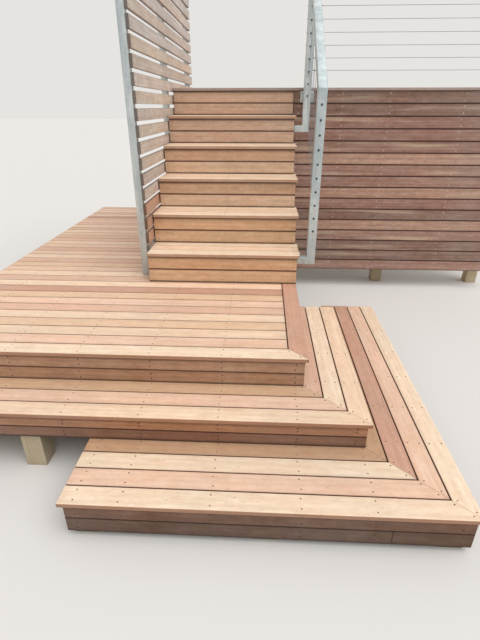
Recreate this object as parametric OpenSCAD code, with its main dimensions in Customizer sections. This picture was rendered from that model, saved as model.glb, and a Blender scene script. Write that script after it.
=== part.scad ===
// Timber deck stairs: a six-rise flight up to a raised deck, a landing in front of and beside the flight,
// two broad steps that wrap round the landing's corner, a slatted side screen and a wire balustrade.
// Construction is laid out from the foot of the flight: x = 0 is the flight's right face, y = 0 the face
// of its lowest riser and z = 0 the top of the landing. It is then moved so that the origin is on the
// ground under the middle of the whole assembly.

/* [Boards] */
// Width of a decking board
board_w = 86; // [70:1:140]
// Thickness of a decking board
board_t = 19; // [16:1:32]
// Gap between decking boards
board_gap = 4; // [2:1:8]
// Gap between the two upright boards of a rise
riser_gap = 2; // [1:0.5:6]
// Chamfer on the upper long edges of a board
arris = 2; // [0.5:0.5:4]
// Overhang of a board edge in front of its riser
nosing = 14; // [5:1:30]
// Gap in a mitred corner
mitre_gap = 1; // [0.5:0.5:3]
// Clearance where one timber butts against the side of another
butt = 0.3; // [0.2:0.1:0.8]

/* [Flight] */
// Width of the flight over its stringers
flight_w = 918; // [700:1:1400]
// Height of one rise
rise = 187; // [150:1:195]
// Boards in one tread
tread_boards = 3; // [3:1:4]
// How far the back of a tread runs under the riser above it
tread_tuck = 17; // [6:1:19]
// Overhang of the treads past the right stringer
tread_end = 13; // [5:1:30]
// Thickness of a stringer
stringer_t = 45; // [35:1:60]
// Depth of stringer left under the step cuts, square to its slope
stringer_throat = 143; // [90:1:180]

/* [Landing] */
// Width of the landing
landing_w = 1965; // [1700:5:2600]
// Board rows in front of the flight
front_rows = 9; // [6:1:12]
// Board rows that run on under the foot of the flight
foot_rows = 4; // [4:1:6]
// Board rows beside and behind the foot rows, left of the flight
side_rows = 21; // [20:1:26]
// Gap between the last front row and the lowest riser
foot_gap = 6; // [4:1:12]
// Drop from the landing to the middle step
middle_drop = 152; // [130:1:190]

/* [Steps] */
// Board rows on the middle step
middle_rows = 3; // [3:1:5]
// How far the middle step's back row runs under the landing riser
middle_tuck = 8; // [4:1:16]
// Drop from the middle step to the lower step
lower_drop = 131; // [120:1:190]
// Board rows on the lower step
lower_rows = 4; // [3:1:5]
// How far the lower step's back row runs under the middle riser
lower_tuck = 13; // [4:1:16]
// Back end of the middle step's side arm, before the lowest riser of the flight
middle_end = 0; // [0:1:200]
// Back end of the lower step's side arm, past the lowest riser of the flight
lower_end = 315; // [100:5:800]
// Left end of the lower step, from the flight's right face
lower_left = 936; // [700:1:1400]
// Height of the lower step's fascia
fascia_h = 135; // [100:1:150]
// Joint in the lower board of the front fascia, right of the flight's right face
fascia_joint = 274; // [-300:1:400]
// Gap under the lower step's fascia
ground_gap = 28; // [20:1:80]

/* [Upper deck] */
// Board rows on the upper deck
deck_rows = 12; // [11:1:14]
// Length of the upper deck to the right of the flight
deck_run = 1770; // [1400:10:2600]
// Width of a cladding board
clad_w = 86; // [70:1:100]
// Gap between cladding boards
clad_gap = 2; // [1:1:5]
// Number of cladding boards
clad_rows = 16; // [14:1:16]

/* [Frame] */
// Thickness of the joists
joist_t = 45; // [35:1:50]
// Depth of the landing and step joists
joist_h = 90; // [80:1:100]
// Depth of the upper deck's joists
deck_joist_h = 140; // [120:1:190]
// Spacing of the joists along the landing and the steps
joist_step = 329; // [280:1:450]
// Largest spacing of the joists across the side arms
arm_step = 290; // [200:10:450]
// Largest spacing of the stumps under a step
stump_step = 700; // [500:10:900]
// Height of a bearer
bearer_h = 90; // [70:1:100]
// Width of a bearer
bearer_w = 70; // [45:1:90]
// Side of a square timber post or stump
post_w = 90; // [75:1:100]
// Largest spacing of the deck posts
post_step = 900; // [700:10:1200]
// Depth of the ledger behind the flight
ledger_h = 190; // [140:1:240]
// Width of a cladding batten
batten_w = 70; // [45:1:90]
// Thickness of a cladding batten
batten_t = 35; // [25:1:40]

/* [Screen] */
// Height of a slat
slat_h = 65; // [50:1:90]
// Gap between slats
slat_gap = 23; // [15:1:30]
// Thickness of a slat
slat_t = 19; // [16:1:25]
// Number of slats
slat_rows = 24; // [22:1:30]
// Clear space from the landing to the lowest slat
slat_foot = 40; // [20:1:80]
// Clearance between the slats and the flight
screen_gap = 8; // [4:1:20]
// Side of a screen post
screen_post = 44; // [40:1:60]

/* [Balustrade] */
// Side of a steel post and width of the rails
steel_w = 50; // [40:1:60]
// Width of the plate that fixes a deck post to the cladding
plate_w = 100; // [80:1:120]
// Clearance of that plate under the deck's edge board
plate_gap = 3; // [1:1:8]
// Step of the corner post to the right of the stair posts
corner_step = 15; // [5:1:20]
// Clear space between the flight and the stair posts
post_stand = 60; // [40:1:90]
// Height of the side bracket at the foot of a stair post
bracket_h = 45; // [30:1:60]
// Front of the lower stair post from the lowest riser
post_1_y = 35; // [25:1:90]
// Front of the upper stair post behind the face of the second highest riser
post_2_back = 22; // [20:1:60]
// Foot of the lower stair post below the nosing line
post_1_drop = 128; // [110:1:135]
// Foot of the upper stair post below the nosing line
post_2_drop = 159; // [140:1:200]
// Height of the stair rail over the nosing line
rail_rise = 859; // [850:1:950]
// Height of the level rail over the deck
deck_rail_rise = 1000; // [1000:5:1100]
// How far the deck posts reach down over the cladding
deck_post_drop = 100; // [60:5:140]
// Diameter of a wire
wire_d = 3.2; // [3:0.2:4]
// Upright spacing of the stair wires
stair_wire_step = 75.5; // [60:0.5:80]
// Upright spacing of the deck wires
deck_wire_step = 78; // [60:1:80]
// Least clear space between the top wire and the rail
wire_edge = 12; // [8:1:40]
// Lowest stair wire over the nosing line
stair_wire_foot = 98; // [80:1:110]
// Lowest deck wire over the deck
deck_wire_foot = 110; // [80:1:125]

/* [Hidden] */
$fn = 24;

rises = 6;
pitch = board_w + board_gap;
tread_d = tread_boards * pitch - board_gap;
going = tread_d - nosing - tread_tuck;
slope = rise / going;
flight_d = (rises - 1) * going;

landing_front = -foot_gap - board_gap - (front_rows + 1) * pitch + board_gap;
field_front = landing_front + pitch;
foot_back = field_front + (front_rows + foot_rows) * pitch - board_gap;
landing_back = foot_back + side_rows * pitch;
side_right = -flight_w - screen_gap;

middle_d = middle_rows * pitch - board_gap;
middle_front = landing_front - (middle_d - nosing - middle_tuck);
middle_side = landing_front - middle_front;
middle_z = -middle_drop;
lower_d = lower_rows * pitch - board_gap;
lower_front = middle_front - (lower_d - nosing - lower_tuck);
lower_side = landing_front - lower_front;
lower_z = middle_z - lower_drop;
ground_z = lower_z - board_t - fascia_h - ground_gap;

deck_z = rises * rise;
deck_front = flight_d - nosing;
deck_back = deck_front + deck_rows * pitch - board_gap;
clad_back = flight_d + board_t;
clad_step = clad_w + clad_gap;
clad_top = deck_z - board_t;
clad_foot = clad_top - clad_rows * clad_step + clad_gap;

// Battens stand closer together next to the flight
batten_shares = [0, 0.2, 0.41, 0.74, 1];

slat_step = slat_h + slat_gap;
screen_top = slat_foot + slat_rows * slat_step - slat_gap;
slat_left = side_right - slat_t;
slat_front = row_y(front_rows + 1) + (board_w - screen_post) / 2;

bar_left = post_stand;
bar_mid = bar_left + steel_w / 2;
post_2_y = (rises - 2) * going + post_2_back;
corner_front = deck_front - steel_w;
rail_h = steel_w / cos(atan(slope));
rail_z = deck_z + deck_rail_rise;

mid_x = (deck_run - landing_w) / 2;
mid_y = (lower_front + landing_back) / 2;

timber = "#c9a081";
framing = "#b8a98a";
dark = "#7a5a4e";
weathered = "#b3a698";
galvanised = "#a9b3b5";

function row_y(i) = field_front + i * pitch;
function nosing_z(y) = rise + (y + nosing) * slope;
function spaced(a, b, step) = [for (i = [0 : ceil((b - a) / step)]) a + (b - a) * i / ceil((b - a) / step)];
// Left faces of joists from b back to a, with a short bay next to a
function stepped(a, b) = [a, for (x = [b : -joist_step : a + 2 * joist_t]) x];

// Moves the layout so that the origin is on the ground under the middle
module on_site() {
    translate([-mid_x, -mid_y, -ground_z]) children();
}

// Section of a board with its two upper edges eased
module board_section(w, t) {
    polygon([[0, 0], [w, 0], [w, t - arris], [w - arris, t], [arris, t], [0, t - arris]]);
}

// Board laid flat along x, its top at z
module board_x(x0, x1, y, z, w = board_w) {
    translate([x0, y, z - board_t]) rotate([90, 0, 90]) linear_extrude(x1 - x0) board_section(w, board_t);
}

// Board laid flat along y, its top at z
module board_y(x, y0, y1, z) {
    translate([x, y1, z - board_t]) rotate([90, 0, 0]) linear_extrude(y1 - y0)
        board_section(board_w, board_t);
}

// Plain length of timber between two corners
module timber_box(a, b) {
    translate(a) cube(b - a);
}

// Everything in front of the mitre plane, on the side of the front arm
module front_side() {
    reach = 2 * (landing_w + lower_side);
    cut = landing_front - mitre_gap / 2;
    intersection() {
        children();
        translate([0, 0, ground_z]) linear_extrude(deck_z - ground_z)
            polygon([[cut + reach, -reach], [cut - reach, reach], [cut - reach, -reach]]);
    }
}

// Everything behind the mitre plane, on the side of the side arm
module arm_side() {
    reach = 2 * (landing_w + lower_side);
    cut = landing_front + mitre_gap / 2;
    intersection() {
        children();
        translate([0, 0, ground_z]) linear_extrude(deck_z - ground_z)
            polygon([[cut + reach, -reach], [cut + reach, reach], [cut - reach, reach]]);
    }
}

// Two upright boards under a nosing, one over the other, along x
module riser_x(x0, x1, y, z0, z1) {
    h = (z1 - z0 - riser_gap) / 2;
    for (z = [z0, z1 - h])
        timber_box([x0, y, z], [x1, y + board_t, z + h]);
}

// Two upright boards under a nosing, one over the other, along y
module riser_y(x, y0, y1, z0, z1) {
    h = (z1 - z0 - riser_gap) / 2;
    for (z = [z0, z1 - h])
        timber_box([x, y0, z], [x + board_t, y1, z + h]);
}

module riser(i) {
    color(timber) on_site()
        riser_x(-flight_w, 0, (i - 1) * going, (i - 1) * rise, i * rise - board_t);
}

module tread(i) {
    color(timber) on_site()
        for (j = [0 : tread_boards - 1])
            board_x(-flight_w, tread_end, (i - 1) * going - nosing + j * pitch, i * rise);
}

// Cut stringer: level seats under the treads and plumb cuts behind the risers
module stringer(x) {
    drop = stringer_throat / cos(atan(slope));
    foot_y = board_t + (board_t + drop) / slope;
    top_y = flight_d + board_t;
    steps = [for (i = [0 : rises - 2]) each [
        [i * going + board_t, i == 0 ? 0 : i * rise - board_t],
        [i * going + board_t, (i + 1) * rise - board_t]
    ]];
    back = [[top_y, (rises - 1) * rise - board_t],
            [top_y, (top_y - board_t) * slope - board_t - drop],
            [foot_y, 0]];
    color(framing) on_site()
        translate([x, 0, 0]) rotate([90, 0, 90]) linear_extrude(stringer_t) polygon(concat(steps, back));
}

module landing_boards() {
    color(timber) on_site()
        for (i = [0 : front_rows + foot_rows + side_rows - 1])
            board_x(-landing_w, i < front_rows + foot_rows ? -pitch : side_right, row_y(i), 0);
}

module landing_border_front() {
    color(timber) on_site() front_side()
        board_x(-landing_w, 0, landing_front, 0);
}

module landing_border_side() {
    color(timber) on_site() arm_side()
        board_y(-board_w, landing_front, foot_back, 0);
}

module landing_risers() {
    face = landing_front + nosing;
    color(timber) on_site() {
        riser_x(-landing_w + nosing, -nosing, face, middle_z, -board_t);
        riser_y(-nosing - board_t, face + board_t + butt, foot_back - nosing, middle_z, -board_t);
    }
}

// Timber along x with its top at z
module rim_x(x0, x1, y, z, h = joist_h) {
    timber_box([x0, y, z - h], [x1, y + joist_t, z]);
}

// Timber along y with its top at z
module rim_y(x, y0, y1, z, h = joist_h) {
    timber_box([x, y0, z - h], [x + joist_t, y1, z]);
}

// Joists along y that butt against the rims at y0 and y1
module joists_y(xs, y0, y1, z, h = joist_h) {
    for (x = xs)
        rim_y(x, y0 + butt, y1 - butt, z, h);
}

// Ladder frame of a side arm: the inner rim starts at y_in, the outer one at y_out, and joists run across
module arm_frame(x0, x1, y_in, y_out, y1, ys, z) {
    rim_y(x0, y_in, y1, z);
    rim_y(x1 - joist_t, y_out, y1, z);
    for (y = ys)
        rim_x(x0 + joist_t + butt, x1 - joist_t - butt, y, z);
}

// Diagonal joist under a mitre, from the inner corner at x0 to the rims at x1
module mitre_joist(x0, x1, z) {
    intersection() {
        timber_box([x0 + butt, landing_front - x1 + butt, z - joist_h],
            [x1 - butt, landing_front - x0 - butt, z]);
        translate([x0, landing_front - x0, z - joist_h]) rotate(-45)
            translate([-joist_t, -joist_t / 2, 0]) cube([2 * (x1 - x0), joist_t, joist_h]);
    }
}

landing_frame_front = landing_front + nosing + board_t;
landing_frame_right = -nosing - board_t;
frame_left = -landing_w + nosing + board_t;
last_joist = landing_frame_right - joist_t;

module landing_joists() {
    z = -board_t;
    trimmer = side_right - joist_t;
    front = landing_frame_front + joist_t;
    xs = stepped(frame_left, last_joist);
    color(framing) on_site() {
        rim_x(frame_left, landing_frame_right, landing_frame_front, z);
        rim_x(frame_left, side_right, landing_back - joist_t, z);
        rim_x(side_right + butt, landing_frame_right, foot_back - joist_t, z);
        joists_y([for (x = xs) if (x < trimmer - joist_t) x, trimmer], front, landing_back - joist_t, z);
        joists_y([for (x = xs) if (x > side_right) x], front, foot_back - joist_t, z);
    }
}

bearer_front_y = landing_frame_front + joist_t + bearer_w;
bearer_foot_y = foot_back - joist_t - 2 * bearer_w;
bearer_back_y = landing_back - joist_t - 2 * bearer_w;
bearer_middle_y = (bearer_foot_y + bearer_back_y) / 2;
bearer_z = -board_t - joist_h;

module landing_bearers() {
    color(framing) on_site() {
        for (y = [bearer_front_y, bearer_foot_y])
            timber_box([frame_left, y, bearer_z - bearer_h], [landing_frame_right, y + bearer_w, bearer_z]);
        for (y = [bearer_middle_y, bearer_back_y])
            timber_box([frame_left, y, bearer_z - bearer_h], [side_right, y + bearer_w, bearer_z]);
    }
}

// Square stump from the ground up to z, its left front edge at x and y
module stump(x, y, z) {
    timber_box([x, y, ground_z], [x + post_w, y + post_w, z]);
}

module landing_stumps() {
    left = frame_left + post_w;
    middle = side_right - post_w;
    right = landing_frame_right - 2 * post_w;
    color(framing) on_site() {
        for (y = [bearer_front_y, bearer_foot_y], x = [left, middle, right])
            stump(x, y, bearer_z - bearer_h);
        for (y = [bearer_middle_y, bearer_back_y], x = [left, middle])
            stump(x, y, bearer_z - bearer_h);
    }
}

module middle_step_boards() {
    color(timber) on_site() {
        front_side() for (i = [0 : middle_rows - 1])
            board_x(-landing_w, middle_side, middle_front + i * pitch, middle_z);
        arm_side() for (i = [0 : middle_rows - 1])
            board_y(middle_side - board_w - i * pitch, middle_front, -middle_end, middle_z);
    }
}

module middle_step_risers() {
    face_y = middle_front + nosing;
    face_x = middle_side - nosing;
    end_y = -middle_end - nosing - board_t;
    color(timber) on_site() {
        riser_x(-landing_w + nosing, face_x, face_y, lower_z, middle_z - board_t);
        riser_y(face_x - board_t, face_y + board_t + butt, end_y + board_t, lower_z, middle_z - board_t);
        riser_x(-nosing, face_x - board_t - butt, end_y, lower_z, middle_z - board_t);
    }
}

middle_frame_front = middle_front + nosing + board_t;
middle_frame_right = middle_side - nosing - board_t;
middle_frame_back = landing_front + nosing + board_t;
middle_frame_end = -middle_end - nosing - board_t;
middle_frame_z = middle_z - board_t;

middle_arm_rows = spaced(middle_frame_back, middle_frame_end - joist_t, arm_step);

module middle_step_frame() {
    z = middle_frame_z;
    front = middle_frame_front + joist_t;
    back = middle_frame_back - joist_t;
    color(framing) on_site() {
        rim_x(frame_left, middle_frame_right, middle_frame_front, z);
        rim_x(frame_left, landing_frame_right, back, z);
        joists_y(stepped(frame_left, last_joist), front, back, z);
        mitre_joist(landing_frame_right, middle_frame_right - joist_t, z);
        arm_frame(landing_frame_right, middle_frame_right, middle_frame_back, front + butt, middle_frame_end,
            middle_arm_rows, z);
    }
}

module middle_step_stumps() {
    top = middle_frame_z - joist_h;
    right = lower_frame_inner - butt - post_w;
    last = middle_frame_end - post_w;
    color(framing) on_site() {
        for (x = spaced(frame_left, right, stump_step))
            stump(x, middle_frame_front, top);
        for (y = [middle_frame_back, (middle_frame_back + last) / 2, last])
            stump(right, y, top);
    }
}

module lower_step_boards() {
    color(timber) on_site() {
        front_side() for (i = [0 : lower_rows - 1])
            board_x(-lower_left, lower_side, lower_front + i * pitch, lower_z);
        arm_side() for (i = [0 : lower_rows - 1])
            board_y(lower_side - board_w - i * pitch, lower_front, lower_end, lower_z);
    }
}

lower_frame_front = lower_front + nosing + board_t;
lower_frame_right = lower_side - nosing - board_t;
lower_frame_left = -lower_left + nosing + board_t;
lower_frame_back = middle_front + nosing + board_t;
lower_frame_end = lower_end - nosing - board_t;
lower_frame_inner = middle_frame_right - joist_t / 2;
lower_frame_z = lower_z - board_t;

module lower_step_fascia() {
    face_y = lower_front + nosing;
    back_y = face_y + board_t;
    face_x = lower_side - nosing;
    left = -lower_left + nosing;
    foot = lower_frame_z - fascia_h;
    strip = (fascia_h - riser_gap) / 2;
    color(timber) on_site() {
        timber_box([left, face_y, lower_frame_z - strip], [face_x, back_y, lower_frame_z]);
        timber_box([left, face_y, foot], [fascia_joint - mitre_gap, back_y, foot + strip]);
        timber_box([fascia_joint, face_y, foot], [face_x, back_y, foot + strip]);
        riser_y(face_x - board_t, back_y + butt, lower_end - nosing, foot, lower_frame_z);
        riser_y(left, back_y + butt, lower_frame_back, foot, lower_frame_z);
        riser_x(lower_frame_inner, face_x - board_t - butt, lower_frame_end, foot, lower_frame_z);
    }
}

lower_arm_rows = concat([lower_frame_back], [for (y = middle_arm_rows) if (y < middle_frame_end - joist_t) y],
    spaced(middle_frame_end - joist_t, lower_frame_end - joist_t, joist_step));

module lower_step_frame() {
    z = lower_frame_z;
    front = lower_frame_front + joist_t;
    back = lower_frame_back - joist_t;
    color(framing) on_site() {
        rim_x(lower_frame_left, lower_frame_right, lower_frame_front, z);
        rim_x(lower_frame_left, lower_frame_inner - butt, back, z);
        joists_y(stepped(lower_frame_left, last_joist), front, back, z);
        mitre_joist(lower_frame_inner + joist_t, lower_frame_right - joist_t, z);
        arm_frame(lower_frame_inner, lower_frame_right, front + butt, front + butt, lower_frame_end,
            lower_arm_rows, z);
    }
}

module lower_step_feet() {
    top = lower_frame_z - joist_h;
    right = lower_frame_right - post_w;
    color(framing) on_site() {
        for (x = spaced(lower_frame_left, right, stump_step))
            for (y = [lower_frame_front, lower_frame_back - post_w])
                stump(x, y, top);
        for (y = [(lower_frame_back + lower_frame_end - post_w) / 2, lower_frame_end - post_w])
            for (x = [lower_frame_inner, right])
                stump(x, y, top);
    }
}

deck_left = -flight_w;
deck_right = deck_run - nosing;
deck_joist_z = deck_z - board_t;

module deck_boards() {
    color(timber) on_site()
        for (i = [0 : deck_rows - 1])
            board_x(deck_left, deck_run, deck_front + i * pitch, deck_z);
}

module deck_joists() {
    back = deck_back - joist_t;
    color(framing) on_site() {
        for (y = [clad_back, back])
            rim_x(deck_left, deck_right, y, deck_joist_z, deck_joist_h);
        joists_y(stepped(deck_left, deck_right - joist_t), clad_back + joist_t, back, deck_joist_z,
            deck_joist_h);
    }
}

deck_bearer_z = deck_joist_z - deck_joist_h;
deck_bearer_front = clad_back + batten_t + post_w;
deck_bearer_back = deck_back - post_w - bearer_w;

module deck_bearers() {
    color(framing) on_site()
        for (y = [deck_bearer_front, deck_bearer_back])
            timber_box([deck_left, y, deck_bearer_z - bearer_h], [deck_right, y + bearer_w, deck_bearer_z]);
}

module deck_posts() {
    color(framing) on_site()
        for (y = [deck_bearer_front, deck_bearer_back])
            for (x = spaced(deck_left, deck_right - post_w, post_step))
                stump(x, y, deck_bearer_z - bearer_h);
}

// Board across the backs of the stringers, under the deck's front rim
module stringer_ledger() {
    color(framing) on_site()
        timber_box([deck_left, clad_back, deck_bearer_z - ledger_h],
            [0, clad_back + joist_t, deck_bearer_z]);
}

module cladding_boards() {
    color(dark) on_site()
        for (i = [1 : clad_rows])
            timber_box([board_gap, flight_d, clad_top - i * clad_step + clad_gap],
                [deck_right, clad_back, clad_top - (i - 1) * clad_step]);
}

module cladding_battens() {
    color(framing) on_site()
        for (share = batten_shares, x = board_gap + share * (deck_right - batten_w - board_gap))
            timber_box([x, clad_back, clad_foot], [x + batten_w, clad_back + batten_t, deck_bearer_z]);
}

// Square steel post of the screen, standing on a landing board
module screen_post_on(row) {
    y = row_y(row) + (board_w - screen_post) / 2;
    color(galvanised) on_site()
        timber_box([slat_left - screen_post, y, 0], [slat_left, y + screen_post, screen_top]);
}

module screen_front_post() { screen_post_on(front_rows + 1); }
module screen_middle_post() { screen_post_on(front_rows + 12); }
module screen_back_post() { screen_post_on(front_rows + foot_rows + side_rows - 1); }

module screen_slats() {
    color(weathered) on_site()
        for (i = [0 : slat_rows - 1])
            timber_box([slat_left, slat_front, slat_foot + i * slat_step],
                [side_right, landing_back, slat_foot + i * slat_step + slat_h]);
}

// Stair post with its top cut to the slope of the rail, and the stub that holds it off the stringer
module stair_post(y, drop) {
    foot = nosing_z(y + steel_w / 2) - drop;
    color(galvanised) on_site() {
        translate([bar_left, 0, 0]) rotate([90, 0, 90]) linear_extrude(steel_w)
            polygon([[y, foot], [y + steel_w, foot],
                [y + steel_w, rail_foot_z(y + steel_w)], [y, rail_foot_z(y)]]);
        timber_box([0, y, foot], [bar_left, y + steel_w, foot + bracket_h]);
    }
}

function rail_foot_z(y) = nosing_z(y) + rail_rise - rail_h;

module stair_post_lower() { stair_post(post_1_y, post_1_drop); }
module stair_post_upper() { stair_post(post_2_y, post_2_drop); }

module stair_handrail() {
    color(galvanised) on_site()
        translate([bar_left, 0, 0]) rotate([90, 0, 90]) linear_extrude(steel_w)
            polygon([[post_1_y, rail_foot_z(post_1_y)],
                [corner_front, rail_foot_z(corner_front)],
                [corner_front, rail_foot_z(corner_front) + rail_h],
                [post_1_y, rail_foot_z(post_1_y) + rail_h]]);
}

// Post of the deck's balustrade, on a plate that holds it clear of the deck's edge
module deck_post(x) {
    foot = deck_z - deck_post_drop;
    color(galvanised) on_site() {
        timber_box([x, corner_front, foot], [x + steel_w, deck_front, rail_z - steel_w]);
        timber_box([x + (steel_w - plate_w) / 2, deck_front, foot],
            [x + (steel_w + plate_w) / 2, flight_d, clad_top - plate_gap]);
    }
}

corner_left = bar_left + corner_step;
end_left = deck_right - (steel_w + plate_w) / 2;

module deck_corner_post() { deck_post(corner_left); }
module deck_end_post() { deck_post(end_left); }

module deck_top_rail() {
    color(galvanised) on_site()
        timber_box([corner_left, corner_front, rail_z - steel_w], [end_left + steel_w, deck_front, rail_z]);
}

// Raked wire over the nosing line, cut plumb at the post faces y0 and y1
module raked_wire(h, y0, y1) {
    run = y1 - y0 + 4 * wire_d;
    intersection() {
        translate([bar_mid, y0 - 2 * wire_d, nosing_z(y0 - 2 * wire_d) + h])
            rotate([atan(slope) - 90, 0, 0]) cylinder(d = wire_d, h = run / cos(atan(slope)));
        timber_box([bar_left, y0, 0], [bar_left + steel_w, y1, rail_z]);
    }
}

module stair_wires() {
    color("silver") on_site()
        for (h = [stair_wire_foot : stair_wire_step : rail_rise - rail_h - wire_edge]) {
            raked_wire(h, post_1_y + steel_w, post_2_y);
            raked_wire(h, post_2_y + steel_w, corner_front);
        }
}

module deck_wires() {
    color("silver") on_site()
        for (h = [deck_wire_foot : deck_wire_step : deck_rail_rise - steel_w - wire_edge])
            translate([corner_left + steel_w, corner_front + steel_w / 2, deck_z + h])
                rotate([0, 90, 0]) cylinder(d = wire_d, h = end_left - corner_left - steel_w);
}

riser(1);  // riser_1
riser(2);  // riser_2
riser(3);  // riser_3
riser(4);  // riser_4
riser(5);  // riser_5
riser(6);  // riser_6
tread(1);  // tread_1
tread(2);  // tread_2
tread(3);  // tread_3
tread(4);  // tread_4
tread(5);  // tread_5
stringer(-flight_w);  // stringer_left
stringer(-(flight_w + stringer_t) / 2);  // stringer_middle
stringer(-stringer_t);  // stringer_right
landing_boards();
landing_border_front();
landing_border_side();
landing_risers();
landing_joists();
landing_bearers();
landing_stumps();
middle_step_boards();
middle_step_risers();
middle_step_frame();
middle_step_stumps();
lower_step_boards();
lower_step_fascia();
lower_step_frame();
lower_step_feet();
deck_boards();
deck_joists();
deck_bearers();
deck_posts();
stringer_ledger();
cladding_boards();
cladding_battens();
screen_front_post();
screen_middle_post();
screen_back_post();
screen_slats();
stair_post_lower();
stair_post_upper();
deck_corner_post();
deck_end_post();
stair_handrail();
deck_top_rail();
stair_wires();
deck_wires();
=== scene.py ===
import math
import random
import bmesh
import bpy
from mathutils import Matrix, Vector


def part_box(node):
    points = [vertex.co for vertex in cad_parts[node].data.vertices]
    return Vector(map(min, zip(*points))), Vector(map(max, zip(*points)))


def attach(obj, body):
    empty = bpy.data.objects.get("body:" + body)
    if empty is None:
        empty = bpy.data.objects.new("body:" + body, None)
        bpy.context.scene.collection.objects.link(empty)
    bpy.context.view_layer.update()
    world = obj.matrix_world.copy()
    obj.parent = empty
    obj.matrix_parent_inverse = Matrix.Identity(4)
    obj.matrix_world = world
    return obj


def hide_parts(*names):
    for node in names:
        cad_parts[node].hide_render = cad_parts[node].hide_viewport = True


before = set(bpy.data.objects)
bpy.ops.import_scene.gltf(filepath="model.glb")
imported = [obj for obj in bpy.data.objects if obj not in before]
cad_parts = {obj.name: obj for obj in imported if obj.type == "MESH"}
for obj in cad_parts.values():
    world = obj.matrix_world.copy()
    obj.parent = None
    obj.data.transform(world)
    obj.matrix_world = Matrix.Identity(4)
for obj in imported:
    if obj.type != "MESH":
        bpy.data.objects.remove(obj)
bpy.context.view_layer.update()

# Ground frame. Stumps, posts, bearers, joists and battens of preservative-treated pine, rough sawn
# and left bare. Stumps stand on the ground, bearers lie across them and joists are nailed on top.
pine_tones = ["#c4b593", "#bbac8b", "#cbbc9b", "#b6a786"]
pine_arris = 0.0012
# Edges that turn through more than this angle, in radians, are eased
sharp_angle = 0.4
# A wave texture at a scale of 1 repeats over this length
wave_period = math.tau / 20


def linear(colour):
    """An sRGB hex colour as linear red, green, blue and alpha."""
    parts = [int(colour[i:i + 2], 16) / 255 for i in (1, 3, 5)]
    return [*(p / 12.92 if p <= 0.04045 else ((p + 0.055) / 1.055) ** 2.4 for p in parts), 1.0]


def add(tree, kind, settings=None, links=None):
    """A shader node with its settings made and its sockets linked from other sockets."""
    made = tree.nodes.new("ShaderNode" + kind)
    for name, value in (settings or {}).items():
        if isinstance(name, str) and hasattr(made, name):
            setattr(made, name, value)
        else:
            made.inputs[name].default_value = value
    for name, socket in (links or {}).items():
        tree.links.new(socket, made.inputs[name])
    return made


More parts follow.
